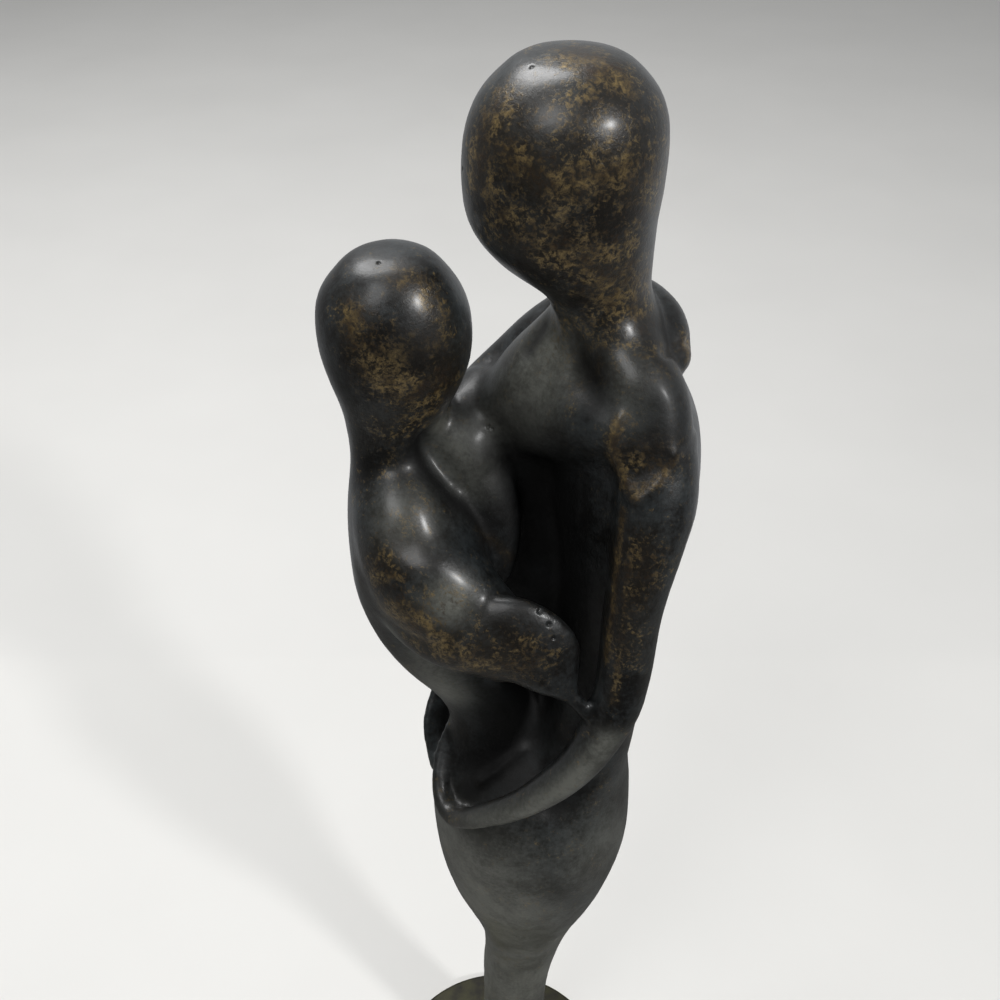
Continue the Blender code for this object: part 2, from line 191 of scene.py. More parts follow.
# The couple. A form is a list of sections: centre x, y, z, then its two half widths (level forms:
# along x and y; arms and shoulders: up the section and through it).
couple = {
    "voxel": 1.36,           # size of the faces
    "sides": 48,             # corners of a section
    "blendSteps": 6,         # sections laid between two listed ones
    "domeTurns": (25, 50, 72, 86),           # degrees, the rings that close a form's end
    "domeLength": 4.0,
    "crowns": {"tallHead": 4.5, "smallHead": 4.8},
    "tips": {"smallNearArm": 3.0, "smallFarArm": 6.0},
    "pinch": {"smallNearArm": 0.35},         # above 0, the section has thinner edges
    "middleLine": 10,        # x of the group's upright middle, which flat forms face away from
    "facing": 1.6,           # how much more they face to the front and back than to the sides
    "turning": 0.4,          # how fast they turn along the path
    "strokeFall": 1.5,       # how soon a stroke fades out towards its reach
    "bodySoftness": 5.0,     # how far the bodies melt into each other
    "skinSoftness": 1.2,     # how far arms and edges are rubbed down
    "wobble": [(16.0, 0.22), (6.0, 0.07)],   # wave width and height
    "pitCuts": 3,            # cuts in the edges around a flaw
    "pitMargin": 1.5,        # how many faces beyond its radius are cut
    "pitSpread": 2,          # how many radii out it fades away
    "pitEdge": 1.3,          # how steep its rim is
    "forms": {
        "legsAndHips": [
            (6, 1, -12, 15, 15), (6, 1, 12, 14.8, 14.8), (6, 1, 45, 13.8, 13.8),
            (6.5, 1, 72, 13.8, 13.8), (7.5, 1, 90, 14.8, 14.8), (9, 0.5, 104, 15.6, 16),
            (10.2, 0, 118, 17.2, 18), (11, 0, 132, 21.2, 21), (11.2, 0, 146, 26.6, 25.5),
            (11.3, 0, 160, 31.4, 29.5), (11.5, 0, 176, 35, 32), (11.8, 0, 193, 36.7, 33.5),
            (11.8, 0, 210, 36.2, 32), (13.5, 0, 226, 33, 25), (17, 2, 239, 27.5, 17),
            (21, 4, 250, 23, 11), (25, 5, 262, 18, 8)],
        "tallTorso": [
            (24, 0, 200, 21, 26), (27, 0, 225, 19, 25), (32, 0, 255, 17, 24), (36, 1, 285, 15.5, 26),
            (38, 2, 312, 17, 30), (38.8, 3, 331, 19.8, 33), (39, 3, 350, 21.5, 34),
            (38.8, 3, 368, 20, 33), (37, 2, 382, 15.6, 29), (33.5, 1, 395, 15, 22),
            (30, 0, 408, 13.5, 16)],
        "tallHead": [
            (34, 0, 384, 18, 18), (30.5, 0, 400, 13.8, 14.5), (26.5, 0, 412, 14.8, 14.5),
            (20, 0, 422, 21.3, 18.8), (16.4, 0, 432, 25.1, 22.3), (16.2, 0, 444, 26.6, 24.3),
            (16.8, 0, 456, 26.4, 24.3), (17.5, 0, 465.5, 23.2, 21.6), (17.8, 0, 472.1, 17.2, 16)],
        "chest": [
            (12, 13, 346, 13, 9), (12, 12, 356, 16, 12.5), (11.5, 10, 366, 17, 16),
            (12.5, 8, 376, 17, 17), (15.5, 6, 386, 15, 15.5), (18.5, 4, 396, 11, 11),
            (22, 3, 405, 7.5, 8.5)],
        "smallTorso": [
            (3, 0, 190, 26, 26), (0, 0, 216, 22, 20), (0, 0, 234, 19, 15), (0, 0, 248, 18.5, 13),
            (-5.5, 0, 260, 19, 13), (-14.5, 0, 272, 19, 15), (-21.5, 0, 285, 19.3, 17.5),
            (-25, 0, 299, 20.5, 20), (-25, -2, 312, 22, 24), (-24.5, -3, 325, 22.7, 26),
            (-26, -2.5, 338, 21, 24), (-28.5, -1, 349, 17.5, 19), (-31.3, 0, 358, 13.2, 14)],
        "smallHead": [
            (-32, 0, 340, 13, 14), (-32.3, 0, 355, 12.5, 11.8), (-32, 0, 367, 13.5, 12.7),
            (-30, 0, 378, 17.2, 16), (-29.2, 0, 390, 21.4, 19), (-29.4, 0, 401, 22.3, 20),
            (-29.8, 0, 411, 20.2, 18), (-29.5, 0, 419, 14.6, 13.5)],
        "innerWall": [
            (10, 2, 205, 24, 20), (10, 4, 230, 20, 12), (12, 8, 255, 20, 10), (10, 11, 285, 24, 10),
            (4, 13, 315, 26, 10), (2, 13, 340, 26, 11), (6, 12, 360, 22, 11)],
        "breastbone": [
            (-14, 18, 356, 9, 9), (-3, 15, 359, 10, 10), (8, 9, 363, 11, 11), (17, -3, 371, 11.5, 12),
            (26, -14, 379, 11.5, 12), (35, -22, 384, 11, 11)],
        "tallShoulder": [
            (31, -6, 398, 9, 10), (36, -12, 394, 11.5, 11.5), (39.5, -18, 386, 13, 13),
            (42, -24, 372, 12, 12)],
        "smallShoulder": [
            (-31, -4, 351, 13.5, 12.5), (-29.5, -9, 344.5, 16, 15.5), (-26.5, -14.5, 335.5, 18.5, 17),
            (-21, -20, 326, 19.5, 17.5), (-13, -25, 319, 18.5, 15.2), (-5, -28.5, 315.5, 15.5, 11.5),
            (2.5, -31, 313.5, 12, 8.5)],
        "farShoulder": [
            (-7.5, 1, 350, 10.5, 11), (-11.3, 4.5, 358, 12, 12.5), (-8, 12, 363, 11.5, 11.5),
            (-2, 19, 369, 10, 10)],
        "hipSide": [
            (-12, -16, 212, 5, 5), (-13.5, -11, 220, 5.5, 5.5), (-14, -6, 229, 5, 5),
            (-12.5, -2, 238, 3.5, 3.5)],
        "breast": [
            (-11, 3, 355, 8.5, 8.5), (-8, 1.5, 350, 9.4, 9.6), (-3.8, -1, 342.5, 8.6, 9.2),
            (-0.4, -3.6, 333.5, 6.8, 7.4), (0.9, -6, 325.5, 5, 5.4), (-0.2, -8, 317, 4, 4.4)],
        "tallNearArm": [
            (42, -20, 376, 13, 12), (43.5, -27, 362, 12, 12), (42, -32, 350, 10.2, 11),
            (39.8, -35.5, 337, 8.8, 10), (38.3, -37, 324, 8.2, 9.5), (37.5, -38, 308, 8, 9),
            (35.5, -39.5, 291, 7.5, 8.5), (29.8, -41, 275.5, 6.2, 8), (22.8, -42, 263, 5.4, 7),
            (15, -41, 252.5, 4.9, 6.5), (6, -38.5, 241.5, 4.3, 5.5), (-3, -34.5, 232, 3.8, 4.8),
            (-11.5, -28.5, 222, 3.3, 4.2), (-17, -22.5, 216.5, 3.2, 3.8),
            (-20.5, -16.5, 218.5, 3, 3.4), (-21.5, -11, 225, 2.4, 3), (-20, -5, 233, 1.8, 2.4),
            (-16.5, 0, 242, 1.2, 1.6)],
        "tallFarArm": [
            (34, 4, 396, 10, 11), (40, 20, 384, 12, 12), (42.5, 30, 366, 11, 11),
            (42, 35, 350, 10, 10), (40, 38, 328, 9.5, 9.5), (37, 39, 306, 9, 9), (31, 40, 285, 8.5, 8),
            (21, 40, 267, 8.5, 7), (8, 38.5, 252, 8.8, 6), (-7, 34.5, 240, 9, 5),
            (-16.5, 29, 230, 9.5, 4), (-22.8, 21, 218, 9, 3.2), (-23, 12, 205, 6, 3)],
        "smallNearArm": [
            (-35, -14, 311, 8.5, 5), (-28, -21.5, 310, 10, 6.8), (-20, -28, 310.5, 11.5, 8.4),
            (-12, -31.8, 311.5, 13.5, 8.8), (-3.5, -33.6, 312.6, 16.5, 8.4),
            (4.5, -35, 312.2, 17.5, 7.6), (11.5, -36.8, 308.5, 14.8, 6.4),
            (16.3, -39, 302.3, 9.4, 4.8), (19.8, -40.3, 297.6, 4.6, 3.4)],
        "tipFold": [
            (12, -37, 303, 5, 3), (17.5, -40, 299.5, 3.4, 2.6), (22.5, -41.5, 295, 2.6, 2.3),
            (27.5, -42, 287.5, 2.2, 2.2)],
        "smallFarArm": [
            (-13, 12, 352, 9, 9), (-10.5, 16, 357, 10.5, 10), (-4.5, 21, 363.5, 10.2, 9.8),
            (5, 25, 373.5, 9, 9), (15, 24.5, 385.5, 8, 8), (26.5, 22, 395.3, 7.5, 7.5),
            (37.5, 16, 400, 7.5, 7.5), (45.5, 7, 397, 8, 7), (48, -2, 391.5, 7.5, 6)],
    },
    # strokes: depth (below zero, how far it stands out), reach, path
    "carving": [
        # the V of ridges below the near shoulder, and the flattened cap inside it
        (-0.9, 3.5, [(31.5, -29, 388), (29.8, -29.5, 381), (31, -30, 374), (34, -32, 369), (38, -34, 366)]),
        (-0.9, 3.5, [(38, -34, 366), (42.5, -35, 372), (46.5, -31, 378)]),
        (2.0, 12.0, [(38.5, -25, 387), (38.5, -31, 377)]),
        # the hollow beside the long neck, and the cord of the neck in front of it
        (1.2, 7.0, [(21, -12, 399), (25, -18, 393), (28, -24, 389)]),
        (-1.0, 3.5, [(15.6, -7.7, 410), (18.2, -7.6, 401), (17, -10.5, 389)]),
        # the line between the two fingers of the hand on the nape
        (1.2, 2.4, [(43.5, -14.9, 399.4), (49.3, -6.7, 396.7), (54, -2, 396)]),
        # the shallow saddle between the near shoulder and the folded arm
        (1.6, 9.0, [(-25, -28, 345), (-14, -24, 347)]),
        (-1.4, 10.0, [(-18, -36, 321), (-12, -38, 316)]),
        # the gap between the far shoulder and the short figure's neck and front
        (2.4, 5.0, [(-21.9, -8.6, 367.6), (-20.5, -7.1, 361.2), (-17.6, -8.5, 356.8), (-14, -9.8, 352)]),
        # the groove between the breastbone and the far arm
        (0.8, 4.0, [(11.7, -0.2, 399.6), (7.5, -1.5, 394)]),
        # the slanting ridge across the belly, and the hem low on the legs
        (-1.6, 3.0, [(-6.3, -17.6, 228.6), (0, -16.7, 233.4), (6.9, -13.4, 241)]),
        (-0.4, 4.0, [(-6, -10, 114.5), (-1.2, -12.7, 116), (4, -16.7, 119), (12, -18.3, 121.7),
                     (19, -16, 121)]),
        # the undercut below the forearm
        (1.4, 6.0, [(17, -26, 223), (24, -25, 228), (31, -24, 235)])
    ],
    # casting flaws: x, y, z, radius, depth
    "pits": [
        (7.3, -7.6, 474.1, 0.6, 0.5), (-31.3, -6.8, 422.5, 0.55, 0.6), (-9.3, -5.7, 448.2, 0.6, 0.4),
        (-3.5, -3.7, 368.4, 0.8, 0.6), (-2.6, -3.9, 367.0, 0.6, 0.4),
        (11.6, -37.6, 327.2, 0.8, 0.5), (13.9, -39.2, 323.1, 0.9, 0.5), (16.3, -40.1, 319.6, 0.6, 0.5),
        (5.8, -24.2, 144.6, 0.5, 0.35), (8.1, -24.5, 144.4, 0.5, 0.35), (10.5, -23.9, 142.2, 0.4, 0.25)
    ],
    # wear on the patina, with painted sheen and painted shade kept alongside: strength, reach, path (or one
    # place)
    "wear": {
        "rubbed": [          # down to golden brown
            # the tall head, from the crown to the neck
            (0.55, 17, [(4, -16, 455), (20, -20, 462), (34, -18, 452)]),
            (0.9, 7, [(19, -6, 476), (28, -11, 472)]),
            (0.85, 8, [(2, -19, 457), (12, -24, 452), (30, -21, 455)]),
            (0.75, 8, [(0, -13, 466), (-6, -14, 450)]),
            (0.6, 13, [(6, -18, 440), (18, -22, 432), (30, -18, 424), (37, -10, 412)]),
            # the small head and its neck
            (0.7, 6, [(-39, -14, 413), (-38, -14, 404)]),
            (0.7, 5, [(-26, -10, 421), (-20, -11, 416), (-16, -12, 408)]),
            (0.65, 9, [(-34, -18, 398), (-25, -18, 388), (-15, -16, 392)]),
            (0.7, 6, [(-28, -19, 402), (-16, -16, 405)]),
            (0.45, 14, [(-28, -16, 380), (-16, -14, 388)]),
            # the V of ridges and the near shoulder
            (1.1, 2.4, [(31.5, -29, 388), (29.8, -29.5, 381), (31, -30, 374), (34, -32, 369),
                        (38, -34, 366)]),
            (0.8, 2.0, [(38, -34, 366), (42.5, -35, 372), (46.5, -31, 378)]),
            (0.5, 10, [(38, -30, 378)]),
            (0.4, 12, [(30, -8, 402), (40, -14, 392)]),
            # streaks down the tall one's near arm, and the upper side of its forearm
            (1.1, 1.8, [(32, -35, 362), (31, -39, 348), (30.5, -42, 330), (30, -43, 312)]),
            (0.8, 1.6, [(37, -39, 352), (35.5, -43, 335), (34.5, -46, 316), (34, -47, 298)]),
            (0.55, 9, [(38, -40, 352), (36, -44, 320)]),
            (0.9, 2.6, [(28, -36, 268), (18, -36, 256), (8, -33, 246), (-2, -28, 237), (-10, -22, 229)]),
            (0.35, 12, [(14, -30, 250)]),
            # the small one's folded arm and its lip, its back and its breast
            (0.7, 12, [(-24, -30, 322), (-12, -36, 312), (4, -41, 312)]),
            (0.9, 3, [(-20, -32, 304), (-12, -36, 301)]),
            (0.9, 1.8, [(-20, -30, 300), (-8, -35, 296), (4, -38, 295), (14, -41, 294.5)]),
            (0.5, 6, [(-15, -35.5, 331)]),
            (0.5, 10, [(-30, -22, 335), (-26, -20, 345)]),
            (0.9, 1.8, [(-7, -12, 338), (-2, -10, 331), (3, -9, 324)]),
            # fingertips on the nape
            (1.0, 4, [(51, -3, 396), (53, -3, 394)])
        ],
        "paintedSheen": [           # painted sheen: a pale grey standing for the floor's reflection and for highlights
            # hips and legs
            (0.95, 26, [(-6, -18, 190), (6, -14, 150)]),
            (0.8, 60, [(8, -8, 110), (6, -8, 20)]),
            (0.55, 24, [(38, -20, 195)]),
            # the tall one's forearm, upper arm and near shoulder
            (1.0, 4.5, [(33, -46, 283), (24, -47, 267), (8, -44, 246), (-4, -38, 233), (-14, -28, 219)]),
            (0.4, 12, [(47, -20, 340), (44, -24, 300)]),
            (0.45, 9, [(34, -24, 396)]),
            # the chest and the far shoulder
            (0.85, 12, [(16, -2, 392), (10, -3, 378), (4, -2, 368)]),
            (0.9, 9, [(-13, -5, 364), (-7, -7, 354)]),
            (1.0, 5, [(-15.4, -5, 369)]),
            # the small one's waist, folded arm and near shoulder
            (0.8, 9, [(-22, -16, 288), (-18, -12, 268)]),
            (0.6, 4, [(-34, -24, 306), (-16, -34, 297)]),
            (0.5, 10, [(-27, -20, 350)]),
            (1.0, 7, [(-15, -35.5, 331)])
        ],
        "hollow": [          # painted shade: dead black, unwaxed and duller, between the bodies, in grooves and on a few shaded places
            # between the bodies and above the belly
            (1.0, 26, [(12, -6, 352), (14, -8, 320), (14, -10, 290)]),
            (1.0, 17, [(12, -12, 264), (4, -16, 244), (-4, -17, 233)]),
            (0.9, 7, [(-11, -18, 224), (6, -24, 234)]),
            (0.9, 5, [(6.9, -13.4, 241), (0, -16.7, 233.4)]),
            # beside the folded arm's tip and below the forearm
            (0.9, 3, [(22, -38, 300), (26, -38, 292)]),
            (0.7, 4, [(19, -26, 224), (30, -24, 235)]),
            # the gap by the far shoulder, the groove by the far arm, the hollow beside the long neck
            (1.0, 5, [(-22, -9.5, 367), (-20.8, -10, 363.6), (-11.7, -13, 351.7), (-3, -12, 337)]),
            (0.8, 3, [(11.7, -0.2, 399.6), (7.5, -1.5, 394)]),
            (0.7, 6, [(22, -13, 398), (27, -22, 388)]),
            # painted shade on the near shoulder and the small head, duller there too
            (0.7, 6, [(46, -6, 404), (46, -12, 396)]),
            (0.6, 8, [(42, -25, 393), (44, -27, 384)]),
            (0.6, 7, [(-24, -14, 404)]),
            (0.45, 9, [(-31, -6, 424)]),
            (0.4, 8, [(-40, -8, 390)])
        ]
    },
    "patina": {
        # painted shade: the dead black put where the shade is deepest
        "paintedShadeBlack": "#050505",
        "black": "#0C0C0B",
        "blueGrey": "#2F3436",
        # painted sheen: the grey that stands for reflections of the pale floor and for highlights
        "paintedSheenGrey": "#6E6F68",
        "warmBlack": "#29231A",
        "umber": "#3D2F20",
        "gold": "#907A4E",
        # patterns: width in mm, detail, roughness, twist. Specks and grain are really a third as wide,
        # and are drawn coarser to show.
        "patterns": {
            "cloud": (18, 5, 0.6, 0),
            "drift": (24, 4, 0.55, 0),
            "patch": (4.2, 4, 0.65, 0),
            "speck": (1.4, 3, 0.7, 0),
            "curl": (2.2, 3, 0.65, 0.8),
            "fleck": (1.1, 3, 0.7, 0.6),
            "hue": (6, 3, 0.5, 0),
            "grain": (1.3, 4, 0.65, 0),
        },
        # spans: the low and high end of a pattern that count as none and all of it
        "mottleSpan": (0.9, 1.2),
        "paintedSheenSpan": (0.8, 1.2),
        "driftSpan": (0.4, 0.75),
        "patchSpan": (0.3, 0.7),
        "hueSpan": (0.38, 0.62),
        "speckShare": 0.6,
        "paintedSheenLift": (0.5, 1.15),        # painted sheen where the mottle is weakest and strongest
        "fleckShare": 0.6,
        "looseRub": 0.6,                 # rubbing that drifts over the whole figure
        "patchRub": 0.2,
        "barUnrubbed": 0.62,
        "barRubbed": 0.415,
        "fleckEdge": 0.20,
        "goldMost": 0.85,
        "goldMetal": 0.35,
        "goldRise": 0.5,                 # how far the gold stands out beside the grain
        "roughPolished": 0.33,
        "roughDull": 0.46,
        "hollowDull": 0.25,              # added to the roughness under the painted shade
        "waxWeight": 0.45,
        "waxRough": 0.24,
        "grainStrength": 0.8,
        "grainDepth": 0.00012,           # metres
    },
}


def inBetween(stations, steps):
    ends = [stations[0]] + stations + [stations[-1]]
    rows = []
    for i in range(1, len(ends) - 2):
        a, b, c, d = (np.array(row, float) for row in ends[i - 1:i + 3])
        for t in np.arange(steps) / steps:
            rows.append(0.5 * (2 * b + (c - a) * t + (2 * a - 5 * b + 4 * c - d) * t ** 2
                               + (3 * b - a - 3 * c + d) * t ** 3))
    return rows + [np.array(stations[-1], float)]


def sectionAngles():
    return [2 * math.pi * i / couple["sides"] for i in range(couple["sides"])]


def addSkin(mesh, rings):
    loops = [[mesh.verts.new(p) for p in ring] for ring in rings]
    count = len(loops[0])
    for low, high in zip(loops, loops[1:]):
        for i in range(count):
            j = (i + 1) % count
            mesh.faces.new((low[i], low[j], high[j], high[i]))
    for loop in (loops[0], loops[-1]):
        middle = mesh.verts.new(sum((v.co for v in loop), Vector()) / count)
        for i in range(count):
            mesh.faces.new((loop[i], loop[(i + 1) % count], middle))


def domeRings(ring, centre, along, length):
    turns = [math.radians(degrees) for degrees in couple["domeTurns"]]
    return [[centre + (p - centre) * math.cos(t) + along * length * math.sin(t) for p in ring]
            for t in turns]


def uprightForm(mesh, name):
    stations = couple["forms"][name]
    foot = couple["domeLength"]
    crown = couple["crowns"].get(name, foot)
    rings = []
    for x, y, z, wide, deep in inBetween(stations, couple["blendSteps"]):
        rings.append([Vector((x + wide * math.cos(a), y + deep * math.sin(a), z)) for a in sectionAngles()])
    down, up = Vector((0, 0, -1)), Vector((0, 0, 1))
    below = domeRings(rings[0], Vector(stations[0][:3]), down, foot)
    addSkin(mesh, below[::-1] + rings + domeRings(rings[-1], Vector(stations[-1][:3]), up, crown))


def outwardFrom(point, along, last):
    away = Vector((point.x - couple["middleLine"], point.y * couple["facing"], 0))
    away -= along * away.dot(along)
    mixed = last * (1 - couple["turning"]) + away.normalized() * couple["turning"]
    mixed -= along * mixed.dot(along)
    return mixed.normalized()


def pathForm(mesh, name):
    start = couple["domeLength"]
    tip = couple["tips"].get(name, start)
    pinch = couple["pinch"].get(name, 0.0)
    rows = inBetween(couple["forms"][name], couple["blendSteps"])
    centres = [Vector(row[:3]) for row in rows]
    rings = []
    out = Vector((0, -1, 0))
    for i, row in enumerate(rows):
        along = (centres[min(i + 1, len(rows) - 1)] - centres[max(i - 1, 0)]).normalized()
        out = outwardFrom(centres[i], along, out)
        edge = out.cross(along).normalized()
        rings.append([centres[i] + edge * row[3] * math.cos(a)
                      + out * row[4] * math.sin(a) * abs(math.sin(a)) ** pinch for a in sectionAngles()])
        if i == 0:
            below = domeRings(rings[0], centres[0], -along, start)
    addSkin(mesh, below[::-1] + rings + domeRings(rings[-1], centres[-1], along, tip))


def applyModifiers(item):
    graph = bpy.context.evaluated_depsgraph_get()
    data = bpy.data.meshes.new_from_object(item.evaluated_get(graph))
    item.modifiers.clear()
    old, item.data = item.data, data
    bpy.data.meshes.remove(old)


def castInOne(item, mesh):
    bmesh.ops.recalc_face_normals(mesh, faces=mesh.faces)
    mesh.to_mesh(item.data)
    mesh.free()
    remesh = item.modifiers.new("cast in one", "REMESH")
    remesh.mode = "VOXEL"
    remesh.voxel_size = couple["voxel"]
    applyModifiers(item)


def readPoints(data):
    points = np.empty(len(data.vertices) * 3)
    data.vertices.foreach_get("co", points)
    return points.reshape(-1, 3)


def readNormals(data):
    normals = np.empty(len(data.vertices) * 3, dtype=np.float32)
    data.vertex_normals.foreach_get("vector", normals)
    return normals.reshape(-1, 3).astype(float)


def writePoints(data, points):
    data.vertices.foreach_set("co", points.ravel())
    data.update()


def rubDown(data, softness):
    points = readPoints(data)
    pairs = np.empty(len(data.edges) * 2, dtype=np.int64)
    data.edges.foreach_get("vertices", pairs)
    one, two = pairs.reshape(-1, 2).T
    share = np.bincount(one, minlength=len(points)) + np.bincount(two, minlength=len(points))
    for _ in range(max(1, round(2 * (softness / couple["voxel"]) ** 2))):
        total = np.empty_like(points)
        for axis in range(3):
            total[:, axis] = (np.bincount(one, points[two, axis], len(points))
                              + np.bincount(two, points[one, axis], len(points)))
        points += 0.5 * (total / share[:, None] - points)
    writePoints(data, points)


def distanceToPath(points, path):
    # the path's corners are first moved onto the skin
    path = [points[np.argmin(np.linalg.norm(points - place, axis=1))] for place in path]
    best = np.linalg.norm(points - path[0], axis=1)
    for start, end in zip(path, path[1:]):
        run = end - start
        share = np.clip((points - start) @ run / (run @ run), 0, 1)
        best = np.minimum(best, np.linalg.norm(points - start - share[:, None] * run, axis=1))
    return best


def carve(data, strokes):
    for depth, reach, path in strokes:
        points = readPoints(data)
        share = np.exp(-(distanceToPath(points, path) / reach * couple["strokeFall"]) ** 2)
        writePoints(data, points - readNormals(data) * (depth * share)[:, None])


def cutSoles(mesh):
    everything = mesh.verts[:] + mesh.edges[:] + mesh.faces[:]
    bmesh.ops.bisect_plane(mesh, geom=everything, plane_co=(0, 0, 0), plane_no=(0, 0, 1), clear_inner=True)
    rim = [edge for edge in mesh.edges if edge.is_boundary]
    bmesh.ops.edgeloop_fill(mesh, edges=rim)
    bmesh.ops.recalc_face_normals(mesh, faces=mesh.faces)


def handworkedSkin(data):
    # the slight unevenness that filing the wax leaves, seen as a wobble in the highlights
    points = readPoints(data)
    normals = readNormals(data)
    rise = np.zeros(len(points))
    for width, height in couple["wobble"]:
        rise += [height * noise.noise(Vector(p) / width) for p in points]
    writePoints(data, points + normals * rise[:, None])


def castingFlaws(mesh):
    # finer faces around each flaw, so that a pit under a millimetre has a real hollow
    for x, y, z, radius, depth in couple["pits"]:
        centre = Vector((x, y, z))
        near = min(mesh.verts, key=lambda v: (v.co - centre).length_squared)
        centre, inward = near.co.copy(), -near.normal.copy()
        around = radius + couple["voxel"] * couple["pitMargin"]
        edges = [e for e in mesh.edges if (e.verts[0].co - centre).length < around]
        bmesh.ops.subdivide_edges(mesh, edges=edges, cuts=couple["pitCuts"], use_grid_fill=True)
        for v in mesh.verts:
            far = (v.co - centre).length
            if far < radius * couple["pitSpread"]:
                v.co += inward * depth * math.exp(-(far / radius * couple["pitEdge"]) ** 2)


def fitToFrame(data, node):
    low, high = (np.array(corner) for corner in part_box(node))
    points = readPoints(data)
    least, most = points.min(axis=0), points.max(axis=0)
    writePoints(data, low + (points - least) / (most - least) * (high - low))


def markWearAndPaintedLight(data, name, soles):
    # how far each point has each kind of mark (real wear, painted sheen, painted shade), for the material to
    # read
    layout = readPoints(data) * 1000
    layout[:, 2] -= soles
    amount = np.zeros(len(layout))
    for strength, reach, path in couple["wear"][name]:
        amount = np.maximum(amount, strength * np.exp(-(distanceToPath(layout, path) / reach) ** 2))
    attribute = data.attributes.new(name, "FLOAT", "POINT")
    attribute.data.foreach_set("value", amount)


def buildCouple():
    item = bpy.data.objects.new("castCouple", bpy.data.meshes.new("castCouple"))
    bpy.context.collection.objects.link(item)

    mesh = bmesh.new()
    for name in ("legsAndHips", "tallTorso", "chest", "smallTorso", "innerWall", "tallHead", "smallHead"):
        uprightForm(mesh, name)
    for name in ("breastbone", "tallShoulder", "smallShoulder", "farShoulder", "hipSide"):
        pathForm(mesh, name)
    castInOne(item, mesh)
    rubDown(item.data, couple["bodySoftness"])
    print("bodies melted together")

    mesh = bmesh.new()
    mesh.from_mesh(item.data)
    for name in ("breast", "tallNearArm", "tallFarArm", "tipFold", "smallNearArm", "smallFarArm"):
        pathForm(mesh, name)
    castInOne(item, mesh)
    rubDown(item.data, couple["skinSoftness"])
    carve(item.data, couple["carving"])
    handworkedSkin(item.data)
    print("arms laid on and carved:", len(item.data.polygons), "faces")

    mesh = bmesh.new()
    mesh.from_mesh(item.data)
    cutSoles(mesh)
    castingFlaws(mesh)
    mesh.to_mesh(item.data)
    mesh.free()
    fitToFrame(item.data, "embracing_couple")
    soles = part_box("embracing_couple")[0][2] * 1000
    for name in couple["wear"]:
        markWearAndPaintedLight(item.data, name, soles)
    item.data.shade_smooth()
    item.data.materials.append(patinatedBronze())
    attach(item, "root")
    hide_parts("embracing_couple")


